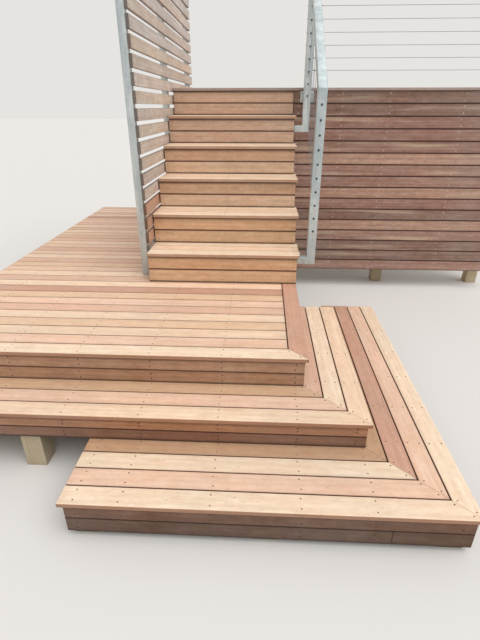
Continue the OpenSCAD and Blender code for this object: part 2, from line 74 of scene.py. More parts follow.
def timber_finish(name, bands, streaks, ring_mm, rings, rough, relief_mm, grey, joint=0.0, edge=0.0,
                  nosing_and_foot_shade=0.0, ends=0.52, sapwood=0.0, saw=0.0, knots=0.0):
    """Bare timber. Every board carries its own tone, seed and place in the board, so that grain runs
    along it and no two boards match. Contrasts of painted shade: edge for boards laid flat,
    nosing_and_foot_shade for risers."""
    made = bpy.data.materials.new(name)
    made.use_nodes = True
    tree = made.node_tree
    tree.nodes.clear()
    place = add(tree, "Attribute", {"attribute_name": "grain"}).outputs["Vector"]
    limits = add(tree, "Attribute", {"attribute_name": "limits"}).outputs["Vector"]
    seed = add(tree, "Attribute", {"attribute_name": "seed"}).outputs["Fac"]
    colour = add(tree, "Attribute", {"attribute_name": "tone"}).outputs["Color"]

    def figure(long_mm, wide_mm, detail):
        """Noise drawn out along the board, its features this long and this wide."""
        scale = (1000 / long_mm, 1000 / wide_mm, 1000 / wide_mm)
        drawn = add(tree, "Mapping", {"Scale": scale}, {"Vector": place})
        settings = {"noise_dimensions": "4D", "Scale": 1.0, "Detail": detail, "Roughness": 0.62}
        return add(tree, "TexNoise", settings, {"Vector": drawn.outputs[0], "W": seed}).outputs[0]

    def shade(colour, pattern, low, high, dark, light):
        """The colour made darker where the pattern is low and lighter where it is high."""
        settings = {"From Min": low, "From Max": high, "To Min": dark, "To Max": light}
        factor = add(tree, "MapRange", settings, {"Value": pattern})
        lit = add(tree, "VectorMath", {"operation": "SCALE"}, {"Vector": colour, "Scale": factor.outputs[0]})
        return lit.outputs[0]

    # The figure's features by real size, but for the pores, which are drawn wide enough to show
    broad = figure(420, 36, 2.0)
    warm = figure(300, 60, 3.0)
    mottle = figure(60, 26, 4.0)
    fleck = figure(16, 8, 2.0)
    fine = figure(120, 3.5, 3.0)
    pores = figure(22, 1.2, 2.0)
    mixed = add(tree, "MapRange", {"From Min": 0.36, "From Max": 0.66}, {"Value": warm})
    # Tints that the timber's own colour is multiplied by, two of them for painted shade at joints and on
    # sides, and colours that it gives way to
    ruddy, joint_shade_tint, side_shade_tint = linear("#fff6f1"), linear("#7c5550"), linear("#b3998e")
    straw, weather_grey = linear("#d6bfa0"), linear("#a39c93")
    settings = {"data_type": "RGBA", "blend_type": "MULTIPLY", 7: ruddy}
    redder = add(tree, "Mix", settings, {0: mixed.outputs[0], 6: colour})
    depth = add(tree, "CombineXYZ", {"X": 1.0, "Y": 1.0, "Z": 1.0}).outputs[0]
    depth = shade(depth, broad, 0.3, 0.7, 1 - 0.7 * bands, 1 + 0.6 * bands)
    depth = shade(depth, mottle, 0.3, 0.7, 1 - 1.3 * bands, 1 + bands)
    depth = shade(depth, fleck, 0.3, 0.7, 1 - 0.6 * bands, 1 + 0.5 * bands)
    depth = shade(depth, fine, 0.3, 0.7, 1 - streaks, 1 + 0.8 * streaks)
    depth = shade(depth, pores, 0.28, 0.5, 1 - 1.4 * streaks, 1.0)

    # Growth rings, cut by the saw at a slight angle, so they run as long arcs on the face. The log's
    # pith lies under the board and somewhat to one side of it.
    pith_below, pith_aside, saw_angle = 0.07, 0.05, 0.05
    turned = add(tree, "Math", {"operation": "MULTIPLY", 1: 9.0}, {0: seed})
    swing = add(tree, "Math", {"operation": "SINE"}, {0: turned.outputs[0]})
    aside = add(tree, "Math", {"operation": "MULTIPLY", 1: pith_aside}, {0: swing.outputs[0]})
    pith = add(tree, "CombineXYZ", {"Z": pith_below}, {"X": seed, "Y": aside.outputs[0]})
    log = add(tree, "Mapping", {"Scale": (saw_angle, 1.0, 1.0)},
              {"Vector": place, "Location": pith.outputs[0]})
    ring_scale = wave_period / (ring_mm / 1000)
    settings = {"wave_type": "RINGS", "rings_direction": "X", "Scale": ring_scale, "Distortion": 9.0,
                "Detail": 2.0, "Detail Scale": 0.35, "Detail Roughness": 0.6}
    ring = add(tree, "TexWave", settings, {"Vector": log.outputs[0]}).outputs["Fac"]
    depth = shade(depth, ring, 0.0, 1.0, 1 - rings, 1 + 0.5 * rings)

    # Where the figure is darker it is redder too
    depth = add(tree, "SeparateXYZ", {}, {0: depth}).outputs["X"]
    red = add(tree, "Math", {"operation": "POWER", 1: 0.75}, {0: depth}).outputs[0]
    blue = add(tree, "Math", {"operation": "POWER", 1: 1.25}, {0: depth}).outputs[0]
    depth = add(tree, "CombineXYZ", {}, {"X": red, "Y": depth, "Z": blue}).outputs[0]
    colour = add(tree, "VectorMath", {"operation": "MULTIPLY"}, {0: redder.outputs[2], 1: depth}).outputs[0]
    if sapwood:
        # Straw-pale sapwood runs in and out of some boards along one side
        run = add(tree, "MapRange", {"From Min": 0.56, "From Max": 0.7, "To Max": sapwood},
                  {"Value": figure(900, 40, 2.0)})
        paled = add(tree, "Mix", {"data_type": "RGBA", 7: straw}, {0: run.outputs[0], 6: colour})
        colour = paled.outputs[2]

    # Weathering in patches that run on from board to board, and specks of dirt
    patch_mm, speck_mm = 450, 10.5
    spot = add(tree, "TexCoord").outputs["Object"]
    patch = add(tree, "TexNoise", {"Scale": 1000 / patch_mm, "Detail": 4.0, "Roughness": 0.6},
                {"Vector": spot})
    grown = add(tree, "MapRange", {"From Min": 0.4, "From Max": 0.65, "To Max": grey},
                {"Value": patch.outputs[0]})
    aged = add(tree, "Mix", {"data_type": "RGBA", 7: weather_grey}, {0: grown.outputs[0], 6: colour})
    speck = add(tree, "TexNoise", {"Scale": 1000 / speck_mm, "Detail": 1.0}, {"Vector": spot}).outputs[0]
    colour = shade(aged.outputs[2], speck, 0.2, 0.29, 0.72, 1.0)

    # Ends drink water and go dark. Painted shade: the edges that face each other across a joint are
    # darkened and reddened, as shade falls into the gap
    end_grain, end_stain, joint_shade_reach, joint_dark_reach = 0.0016, 0.03, 0.012, 0.005
    reach = add(tree, "VectorMath", {"operation": "ABSOLUTE"}, {0: place})
    left = add(tree, "VectorMath", {"operation": "SUBTRACT"}, {0: limits, 1: reach.outputs[0]})
    to_end = add(tree, "SeparateXYZ", {}, {0: left.outputs[0]}).outputs["X"]
    colour = shade(colour, to_end, 0.0, end_grain, ends, 1.0)
    colour = shade(colour, to_end, 0.0, end_stain, 0.93, 1.0)
    across = add(tree, "SeparateXYZ", {}, {0: place}).outputs["Y"]
    sides = add(tree, "SeparateXYZ", {}, {0: limits}).outputs
    to_near = add(tree, "Math", {"operation": "ADD"}, {0: across, 1: sides["Y"]})
    to_far = add(tree, "Math", {"operation": "SUBTRACT"}, {0: sides["Z"], 1: across})
    to_side = add(tree, "Math", {"operation": "MINIMUM"}, {0: to_near.outputs[0], 1: to_far.outputs[0]})
    colour = shade(colour, to_side.outputs[0], 0.0, joint_shade_reach, 1 - 0.12 * joint, 1.0)
    joint_dark = add(tree, "MapRange", {"From Max": joint_dark_reach * joint, "To Min": joint, "To Max": 0.0},
               {"Value": to_side.outputs[0]})
    settings = {"data_type": "RGBA", "blend_type": "MULTIPLY", 7: joint_shade_tint}
    joint_shaded = add(tree, "Mix", settings, {0: joint_dark.outputs[0], 6: colour})
    colour = joint_shaded.outputs[2]

    # Painted shade: faces that turn from up, the sides and fronts of boards laid flat and their undersides,
    # are multiplied browner and darker
    upward = add(tree, "SeparateXYZ", {}, {0: add(tree, "NewGeometry").outputs["Normal"]}).outputs["Z"]
    side_shade_amount = add(tree, "MapRange", {"From Min": 0.2, "From Max": 0.85, "To Min": edge, "To Max": 0.0},
                  {"Value": upward})
    settings = {"data_type": "RGBA", "blend_type": "MULTIPLY", 7: side_shade_tint}
    side_shaded = add(tree, "Mix", settings, {0: side_shade_amount.outputs[0], 6: colour})
    colour = side_shaded.outputs[2]
    if nosing_and_foot_shade:
        # Painted shade: a dark band on a riser just under the nosing, where the nosing's shadow falls, and
        # another along its foot, where it meets the tread
        nosing_shadow_band, foot_shadow_band = (0.006, 0.022), (0.005, 0.014)
        rise = add(tree, "Attribute", {"attribute_name": "rise"}).outputs["Vector"]
        from_foot = add(tree, "VectorMath", {"operation": "SUBTRACT"}, {0: spot, 1: rise}).outputs[0]
        from_foot = add(tree, "SeparateXYZ", {}, {0: from_foot}).outputs["Z"]
        riser_high = add(tree, "SeparateXYZ", {}, {0: rise}).outputs["X"]
        from_head = add(tree, "Math", {"operation": "SUBTRACT"}, {0: riser_high, 1: from_foot})
        colour = shade(colour, from_head.outputs[0], *nosing_shadow_band, 1 - 1.2 * nosing_and_foot_shade, 1.0)
        colour = shade(colour, from_foot, *foot_shadow_band, 1 - 1.2 * nosing_and_foot_shade, 1.0)

    relief = add(tree, "Math", {"operation": "MULTIPLY_ADD", 1: 0.6}, {0: fine, 2: pores}).outputs[0]
    if knots:
        # A dark knot here and there, drawn out along the board, one to a patch of this length and width
        long_mm, wide_mm = 420, 110
        scale = (1000 / long_mm, 1000 / wide_mm, 1000 / wide_mm)
        eyes = add(tree, "Mapping", {"Scale": scale}, {"Vector": place})
        eye = add(tree, "TexVoronoi", {"voronoi_dimensions": "4D", "Scale": 1.0},
                  {"Vector": eyes.outputs[0], "W": seed}).outputs["Distance"]
        colour = shade(colour, eye, 0.06, 0.14, 1 - knots, 1.0)
    if saw:
        # Marks of the saw's teeth straight across the face
        tooth_mm = 4
        settings = {"bands_direction": "X", "Scale": wave_period / (tooth_mm / 1000), "Distortion": 1.5,
                    "Detail": 1.0}
        cut = add(tree, "TexWave", settings, {"Vector": place}).outputs["Fac"]
        relief = add(tree, "Math", {"operation": "MULTIPLY_ADD", 1: saw}, {0: cut, 2: relief}).outputs[0]
        colour = shade(colour, cut, 0.0, 1.0, 1 - 0.05 * saw, 1.0)
    bump = add(tree, "Bump", {"Strength": 1.0, "Distance": relief_mm / 1000}, {"Height": relief})
    settings = {"From Min": 0.3, "From Max": 0.7, "To Min": rough - 0.08, "To Max": rough + 0.08}
    dull = add(tree, "MapRange", settings, {"Value": mottle})
    skin = add(tree, "BsdfPrincipled", {"Specular IOR Level": 0.4},
               {"Base Color": colour, "Roughness": dull.outputs[0], "Normal": bump.outputs[0]})
    add(tree, "OutputMaterial", {}, {"Surface": skin.outputs[0]})
    return made


def solids(bm):
    """The separate solids of a mesh, each as a list of its vertices."""
    for v in bm.verts:
        v.tag = False
    found = []
    for start in bm.verts:
        if start.tag:
            continue
        start.tag = True
        solid = [start]
        for v in solid:
            for e in v.link_edges:
                other = e.other_vert(v)
                if not other.tag:
                    other.tag = True
                    solid.append(other)
        found.append(solid)
    return found


def span(points):
    """Lowest and highest corner of some points."""
    return Vector(map(min, *points)), Vector(map(max, *points))


def lengthwise(low, high):
    """The axes along, across and through a length of timber."""
    return sorted(range(3), key=lambda k: low[k] - high[k])


def merged(node):
    """A copy of a CAD node's mesh, its doubles merged and its flat faces made whole."""
    bm = bmesh.new()
    bm.from_mesh(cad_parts[node].data)
    bmesh.ops.remove_doubles(bm, verts=bm.verts, dist=1e-5)
    bmesh.ops.dissolve_limit(bm, angle_limit=math.radians(1), verts=bm.verts, edges=bm.edges)
    return bm


def finished(name, bm, material, slot, *replaced):
    """The mesh as a piece of the object, which rides on the one body."""
    bmesh.ops.recalc_face_normals(bm, faces=bm.faces)
    mesh = bpy.data.meshes.new(name)
    bm.to_mesh(mesh)
    bm.free()
    mesh.materials.append(material)
    piece = bpy.data.objects.new(name, mesh)
    bpy.context.scene.collection.objects.link(piece)
    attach(piece, "root")
    if replaced:
        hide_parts(*replaced)
    return piece


# How far beyond a free edge the next joint is taken to be, so that no painted joint shade shows there
free_edge = 0.1
# Edges and faces nearer than this lie in one plane
touching = 0.001
# How much lighter or darker than its tone a timber may be, and the range of the seeds for its figure
tone_spread, seed_range = 0.04, 40


def timber(node, material, slot, tones, arris, slope=0.0, nosed=False):
    """The timbers of a CAD node with eased edges, each with its own tone and its grain lengthwise.
    Tones go by turns from the front, left or foot, and timbers along x come first. slope turns the
    grain to a rake. A nosed node has its outermost board's outer edge free. Gives each one's box."""
    rng = random.Random(node)
    bm = merged(node)
    sharp = [e for e in bm.edges if e.calc_face_angle(0.0) > sharp_angle]
    bmesh.ops.bevel(bm, geom=sharp, offset=arris, segments=2, profile=0.5, affect="EDGES", material=-1)
    grain = bm.verts.layers.float_vector.new("grain")
    limits = bm.verts.layers.float_vector.new("limits")
    tone = bm.verts.layers.float_color.new("tone")
    seed = bm.verts.layers.float.new("seed")
    rise = bm.verts.layers.float_vector.new("rise")
    turn = Matrix.Rotation(-slope, 3, "X")
    found = []
    for solid in solids(bm):
        low, high = span([turn @ v.co for v in solid])
        along, across, through = lengthwise(low, high)
        found.append((along, round(low[across] + high[across], 3), round(low[through], 3), low, high, solid))
    found.sort(key=lambda f: f[:3])
    outer = span([f[3] for f in found] + [f[4] for f in found])
    for i, (along, _, _, low, high, solid) in enumerate(found):
        axes = lengthwise(low, high)
        middle = (low + high) / 2
        half = [(high[k] - low[k]) / 2 for k in axes]
        flip = [rng.choice((-1, 1)), rng.choice((-1, 1)), 1]
        number = rng.uniform(0, seed_range)
        lift = rng.uniform(1 - tone_spread, 1 + tone_spread)
        paint = [c * lift for c in linear(tones[i % len(tones)])[:3]]
        near = half[1]
        far = half[1]
        if nosed and along == 0 and low.y < outer[0].y + touching:
            near += free_edge
        if nosed and along == 1 and high.x > outer[1].x - touching:
            far += free_edge
        if flip[1] < 0:
            near, far = far, near
        for v in solid:
            local = turn @ v.co - middle
            v[grain] = [local[k] * f for k, f in zip(axes, flip)]
            v[limits] = [half[0], near, far]
            v[tone] = [*paint, 1.0]
            v[seed] = number
            v[rise] = [outer[1].z - outer[0].z, 0.0, outer[0].z]
    finished(node + "_timber", bm, material, slot, node)
    return [(f[3], f[4]) for f in found]


# Rough-sawn treated pine: saw marks across the face, knots, and a faint green from the preservative
sawn_pine = timber_finish("treated_pine_rough_sawn", bands=0.10, streaks=0.10, ring_mm=9, rings=0.12,
                          rough=0.82, relief_mm=0.5, grey=0.35, saw=0.8, knots=0.45)
for node in ("landing_stumps", "middle_step_stumps", "lower_step_feet", "deck_posts", "landing_bearers",
             "deck_bearers"):
    timber(node, sawn_pine, "framing", pine_tones, pine_arris)
landing_joists = timber("landing_joists", sawn_pine, "framing", pine_tones, pine_arris)
middle_joists = timber("middle_step_frame", sawn_pine, "framing", pine_tones, pine_arris)
lower_joists = timber("lower_step_frame", sawn_pine, "framing", pine_tones, pine_arris)
deck_joists = timber("deck_joists", sawn_pine, "framing", pine_tones, pine_arris)
battens = timber("cladding_battens", sawn_pine, "framing", pine_tones, pine_arris)

# Flight carriage. Three cut stringers of the same pine lean on the landing and hang from a ledger
# across the deck's posts; treads seat on their level cuts and risers stand against their plumb cuts.
rise_mm, going_mm = 187, 235
rake = math.atan2(rise_mm, going_mm)
for node in ("stringer_left", "stringer_middle", "stringer_right"):
    timber(node, sawn_pine, "framing", pine_tones[:2], pine_arris, slope=rake)
stringers = [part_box(node) for node in ("stringer_left", "stringer_middle", "stringer_right")]
timber("stringer_ledger", sawn_pine, "framing", pine_tones[1:], pine_arris)

# Landing deck. Hardwood boards, 86 by 19 mm, planed with eased edges and laid 4 mm apart, screwed
# down over every joist; a border board on two sides is mitred at the corner.
decking_arris = 0.0009
# Screws stand this far in from edges and ends and back from a mitre, each drifting a little by hand
screw_inset, mitre_inset, mitre_clear = 0.019, 0.017, 0.06
drift_along, drift_across = 0.003, 0.002
# Wider than this along a board, a support slants; nearer than this, two of them share their screws
joist_wide, joists_apart = 0.1, 0.15
side_screws = 3
decking_head_mm = 5.5
up = Vector((0.0, 0.0, 1.0))
pale, cream, blush, pink, rose, tan = "#f8e1c6", "#f3d7bb", "#efccb2", "#e5bfa6", "#cea38c", "#e4c4a5"
landing_tones = [blush, cream, tan, cream, pink, blush, tan, rose, cream, pink, cream, blush, tan,
                 pink, cream, blush, pink, blush, cream, pink, tan]


def over_supports(boards, supports, inset=screw_inset, cut=None, outward=None):
    """Screw places: two across every board wherever it crosses a support, on the side that shows,
    each with the way it faces. A support hard by another takes none, unless the board ends on it,
    nor does a slanting one. Near a mitre, which runs where x + y is cut, there are none either."""
    rng = random.Random(len(boards))
    outer = span([corner for board in boards for corner in board])
    spots = []
    for low, high in boards:
        along, across, through = lengthwise(low, high)
        off_centre = (low[through] + high[through] - outer[0][through] - outer[1][through]) / 2
        side = 1 if through == 2 or off_centre > touching else -1
        facing = Vector()
        facing[through] = outward or side
        places = []
        for start, end in sorted(supports, key=lambda support: support[0][along]):
            if lengthwise(start, end)[0] == along or end[along] - start[along] > joist_wide:
                continue
            if any(start[k] > high[k] or end[k] < low[k] for k in (along, across)):
                continue
            middle = (start[along] + end[along]) / 2
            middle = min(max(middle, low[along] + inset), high[along] - inset)
            if places and middle - places[-1] < joists_apart:
                if middle < high[along] - 2 * inset:
                    continue
                places.pop()
            places.append(middle)
        for middle in places:
            for edge in (low[across] + inset, high[across] - inset):
                spot = Vector()
                spot[along] = middle + rng.uniform(-drift_along, drift_along)
                spot[across] = edge + rng.uniform(-drift_across, drift_across)
                spot[through] = high[through] if facing[through] > 0 else low[through]
                beyond = 0.0 if cut is None else (spot.x + spot.y - cut) * (1 if along == 1 else -1)
                if cut is None or beyond > mitre_clear:
                    spots.append((spot, facing))
    return spots


def beside_mitre(boards, cut):
    """Screw places: two at the mitred end of every board, just back from the joint."""
    spots = []
    for low, high in boards:
        along, across, _ = lengthwise(low, high)
        for edge in (low[across] + screw_inset, high[across] - screw_inset):
            spot = Vector((0.0, 0.0, high.z))
            spot[across] = edge
            spot[along] = cut - edge + (mitre_inset if along == 1 else -mitre_inset)
            spots.append((spot, up))
    return spots


def metal_finish(name, colour, tarnish, metallic, rough):
    """Metal with tarnish in soft clouds, or the painted shade of a countersink in timber. The grit is
    drawn coarser than it is, so that it shows."""
    cloud_mm, grit_mm = 11, 1.1
    made = bpy.data.materials.new(name)
    made.use_nodes = True
    tree = made.node_tree
    tree.nodes.clear()
    spot = add(tree, "TexCoord").outputs["Object"]
    cloud = add(tree, "TexNoise", {"Scale": 1000 / cloud_mm, "Detail": 3.0}, {"Vector": spot}).outputs[0]
    stain = add(tree, "MapRange", {"From Min": 0.4, "From Max": 0.62}, {"Value": cloud})
    settings = {"data_type": "RGBA", 6: linear(colour), 7: linear(tarnish)}
    tint = add(tree, "Mix", settings, {0: stain.outputs[0]})
    dull = add(tree, "MapRange", {"To Min": rough - 0.1, "To Max": rough + 0.15}, {"Value": cloud})
    grit = add(tree, "TexNoise", {"Scale": 1000 / grit_mm, "Detail": 1.0}, {"Vector": spot})
    bump = add(tree, "Bump", {"Strength": 0.4, "Distance": 0.0001}, {"Height": grit.outputs[0]})
    skin = add(tree, "BsdfPrincipled", {"Metallic": metallic},
               {"Base Color": tint.outputs[2], "Roughness": dull.outputs[0], "Normal": bump.outputs[0]})
    add(tree, "OutputMaterial", {}, {"Surface": skin.outputs[0]})
    return made


def screw_heads(name, spots, head_mm, finish, ring):
    """Screw heads with a driver recess, each set in a ring that, where darker, is painted shade of its
    countersink, as one piece.
    """
    radius = head_mm / 2000
    ring_radius = 1.3 * radius
    ring_deep, ring_proud = 0.0012, 0.00015
    # Steps of the head from its edge inwards: how far in, and how far up
    rim, dish, recess = (0.12 * radius, 0.0003), (0.45 * radius, 0.0), (0.1 * radius, -0.0004)
    head = bmesh.new()
    bmesh.ops.create_cone(head, cap_ends=True, segments=10, radius1=ring_radius, radius2=ring_radius,
                          depth=ring_deep)
    bmesh.ops.translate(head, vec=(0.0, 0.0, ring_proud - ring_deep / 2), verts=head.verts)
    top = max(head.faces, key=lambda f: f.calc_center_median().z)
    bmesh.ops.inset_region(head, faces=[top], thickness=ring_radius - radius)
    for face in head.faces:
        face.material_index = 1
    top.material_index = 0
    for inset, lift in (rim, dish, recess):
        bmesh.ops.inset_region(head, faces=[top], thickness=inset, depth=lift)
    one = bpy.data.meshes.new(name + "_one")
    head.to_mesh(one)
    head.free()
    bm = bmesh.new()
    for spot, facing in spots:
        place = Matrix.Translation(spot) @ facing.to_track_quat("Z", "Y").to_matrix().to_4x4()
        one.transform(place)
        bm.from_mesh(one)
        one.transform(place.inverted())
    bpy.data.meshes.remove(one)
    finished(name, bm, finish, "galvanised_steel").data.materials.append(ring)


# Hardwood decking, cream to pink, in its first summer: tight grain, dry and nearly matt
decking = timber_finish("hardwood_decking_planed", bands=0.08, streaks=0.08, ring_mm=14, rings=0.05,
                        rough=0.55, relief_mm=0.15, grey=0.10, joint=0.6, edge=1.0)
# Decking screws gone brown-grey outdoors, each in a darker ring that is painted shade of its countersink
decking_screw = metal_finish("decking_screw_tarnished", "#93836f", "#63564b", 0.3, 0.5)
screw_shade_ring = metal_finish("countersink_painted_shade", "#ac8870", "#80604d", 0.0, 0.8)
field = timber("landing_boards", decking, "decking", landing_tones, decking_arris)
border_front = timber("landing_border_front", decking, "decking", [pale], decking_arris, nosed=True)
border_side = timber("landing_border_side", decking, "decking", [rose], decking_arris, nosed=True)
mitre = border_front[0][0].y + border_side[0][1].x
# The side border lies along its joist, so it has a single row of screws over the joist's middle
rim_x = max(low.x + high.x for low, high in landing_joists if lengthwise(low, high)[0] == 1) / 2
spots = over_supports(field, landing_joists) + over_supports(border_front, landing_joists, cut=mitre)
spots += beside_mitre(border_front + border_side, mitre)
low, high = border_side[0]
for i in range(side_screws):
    share = (i + 1) / (side_screws + 1)
    spots.append((Vector((rim_x, low.y + share * (high.y - low.y), high.z)), up))
screw_heads("landing_screws", spots, decking_head_mm, decking_screw, screw_shade_ring)

# Landing risers. The same hardwood on edge, two boards to a rise, under the borders' nosing; their
# brown tones, darker than the deck's, are painted shade.
shaded_landing_low, shaded_landing_up = "#a98569", "#b28f74"
# Riser boards: duller than the deck and blotched, with painted shade under the nosing, along the foot
# and along their joints
blotched_shaded_riser = timber_finish("hardwood_riser_splashed", bands=0.16, streaks=0.10, ring_mm=14, rings=0.10,
                         rough=0.66, relief_mm=0.2, grey=0.12, joint=0.9, nosing_and_foot_shade=0.5)
# Screws that stay damp have rusted dark; the darker ring round each is painted shade of its countersink
damp_screw = metal_finish("decking_screw_rusted", "#5b4b40", "#44372d", 0.3, 0.6)
damp_screw_shade_ring = metal_finish("damp_countersink_painted_shade", "#5e4638", "#483529", 0.0, 0.85)
risers = timber("landing_risers", blotched_shaded_riser, "step_risers", [shaded_landing_low, shaded_landing_up], decking_arris)
spots = over_supports(risers, landing_joists)
screw_heads("landing_riser_screws", spots, decking_head_mm, damp_screw, damp_screw_shade_ring)

# Middle step. Three rows of the same boards run along two sides of the landing and meet in mitres,
# on a ladder frame of their own, with two boards on edge below.
dusty_blush, shaded_straw = "#e8c6ad", "#d8b694"
middle_tones = [cream, dusty_blush, shaded_straw, pink, pale, cream]
# Riser tones written dark and brown as painted shade, the lower board darker than the upper
shaded_middle_low, shaded_middle_up = "#85614d", "#b08262"
middle = timber("middle_step_boards", decking, "decking", middle_tones, decking_arris, nosed=True)
spots = over_supports(middle, middle_joists, cut=mitre) + beside_mitre(middle, mitre)
screw_heads("middle_step_screws", spots, decking_head_mm, decking_screw, screw_shade_ring)
shaded_middle_tones = [shaded_middle_low, shaded_middle_low, shaded_middle_up, shaded_middle_up, shaded_middle_low, shaded_middle_up]
risers = timber("middle_step_risers", blotched_shaded_riser, "step_risers", shaded_middle_tones, decking_arris)
spots = over_supports(risers, middle_joists)
screw_heads("middle_riser_screws", spots, decking_head_mm, damp_screw, damp_screw_shade_ring)

# Lower step. Four rows, wrapped and mitred as on the middle step, over a skirt of two narrow boards
# whose dark tones are painted shade; the skirt's lower board is in two lengths.
shaded_tan, buff = "#c8a483", "#f0dabf"
lower_tones = [pale, blush, buff, shaded_tan, shaded_tan, rose, blush, pale]
lower = timber("lower_step_boards", decking, "decking", lower_tones, decking_arris, nosed=True)
spots = over_supports(lower, lower_joists, cut=mitre) + beside_mitre(lower, mitre)
screw_heads("lower_step_screws", spots, decking_head_mm, decking_screw, screw_shade_ring)
# Skirt boards: dirt splashed up by rain leaves them matt and strongly blotched; painted shade lies
# under the nosing and along the joints
soiled_and_shaded = timber_finish("hardwood_skirt_soiled_shaded", bands=0.22, streaks=0.12, ring_mm=14, rings=0.08,
                       rough=0.72, relief_mm=0.25, grey=0.14, joint=0.8, nosing_and_foot_shade=0.3)
shaded_skirt_tones = ["#664d3e", "#6a5143", "#6e5242", "#775846"]
skirt = timber("lower_step_fascia", soiled_and_shaded, "step_risers", shaded_skirt_tones, decking_arris)
spots = over_supports(skirt, lower_joists)
screw_heads("lower_skirt_screws", spots, decking_head_mm, damp_screw, damp_screw_shade_ring)

# Flight. Each riser is two boards on edge and each tread three boards flat, nosed past the riser
# below; both are screwed to the stringers and oiled. The upper risers have bleached a little.
# Riser tones written darker than the treads', as painted shade on their upright faces
warm_pair = ["#d4b28f", "#d7b08b"]
dry_pair = ["#dbbfa4", "#cba88b"]
bleached_pair = ["#cbaf9a", "#ccaf98"]
riser_pairs = (warm_pair, warm_pair, dry_pair, dry_pair, bleached_pair, bleached_pair)
flight_head_mm = 5.0
# Oiled risers: an even honey colour with little figure, and painted shade along their joints, under
# the nosing and along the foot
oiled = timber_finish("hardwood_riser_oiled", bands=0.12, streaks=0.05, ring_mm=14, rings=0.06,
                      rough=0.55, relief_mm=0.15, grey=0.04, joint=1.2, nosing_and_foot_shade=0.6)
# Worn treads: paler than the risers, whose tones carry painted shade; painted shade darkens the
# nosings' fronts and the boards' sides
worn = timber_finish("hardwood_tread_worn", bands=0.08, streaks=0.08, ring_mm=14, rings=0.05,
                     rough=0.55, relief_mm=0.15, grey=0.05, joint=0.5, edge=0.8)
spots = []
for i, pair in enumerate(riser_pairs):
    boards = timber(f"riser_{i + 1}", oiled, "flight_boards", pair, decking_arris)
    spots += over_supports(boards, stringers)
for i in range(len(riser_pairs) - 1):
    boards = timber(f"tread_{i + 1}", worn, "tread_boards", [pale, cream, pale], decking_arris, nosed=True)
    spots += over_supports(boards, stringers)
# Screws under the oil, hardly darker than the timber
oiled_screw = metal_finish("decking_screw_oiled", "#a0805f", "#846850", 0.3, 0.5)
# Round each, a ring a little darker than the timber is painted shade of its countersink
oiled_screw_shade_ring = metal_finish("oiled_painted_countersink_shade", "#b08a68", "#977355", 0.0, 0.7)
screw_heads("flight_screws", spots, flight_head_mm, oiled_screw, oiled_screw_shade_ring)

# Raised deck. Rows of the same decking run across the head of the flight; out in the open they have
# gone greyer, the front one most.
silvered = "#bcaea7"
# Weathered decking: grey patches run over board and joint, and the gloss has gone
aired = timber_finish("hardwood_decking_weathered", bands=0.08, streaks=0.08, ring_mm=14, rings=0.05,
                      rough=0.62, relief_mm=0.2, grey=0.25, joint=0.6, edge=0.3)
deck_tones = [silvered] + landing_tones[1:12]
boards = timber("deck_boards", aired, "decking", deck_tones, decking_arris, nosed=True)
spots = over_supports(boards, deck_joists)
screw_heads("deck_screws", spots, decking_head_mm, decking_screw, screw_shade_ring)

# Cladding. Dark hardwood boards, 2 mm apart, screwed to the battens and, at the head, to the deck's
# front bearer with bright stainless screws.
umber, mauve, cocoa, fawn = "#917468", "#a98678", "#a07c6f", "#bf9b87"
clad_tones = [mauve, umber, umber, mauve, fawn, umber, cocoa, fawn, mauve, mauve, fawn, cocoa, cocoa,
              cocoa, umber, umber]
wide_head_mm = 6.5
# Dark hardwood: red-brown heartwood with grey bloom, pale sapwood in places, and painted shade black
# along its joints
dark_wood = timber_finish("dark_hardwood_weathered", bands=0.20, streaks=0.12, ring_mm=16, rings=0.14,
                          rough=0.68, relief_mm=0.3, grey=0.22, joint=1.3, sapwood=0.5)
# Stainless screws: small light dots, hardly tarnished
bright_screw = metal_finish("stainless_screw", "#d9d4cc", "#a89f95", 0.4, 0.45)
boards = timber("cladding_boards", dark_wood, "cladding", clad_tones, decking_arris)
# The screws keep to the battens' lines up to the top board, which lies over the bearer
columns = [(low, Vector((high.x, high.y, boards[-1][1].z))) for low, high in battens]
screw_heads("cladding_screws", over_supports(boards, columns), wide_head_mm, bright_screw, bright_screw)

# Joint strips. Black strips like building paper, 24 mm wide, behind each gap between the cladding boards
# from batten to batten: a dark sheet standing in for the shade behind the cladding, so no daylight shows
# through.
strip_wide, strip_thick, strip_clear = 0.024, 0.0008, 0.001
crease_mm = 25
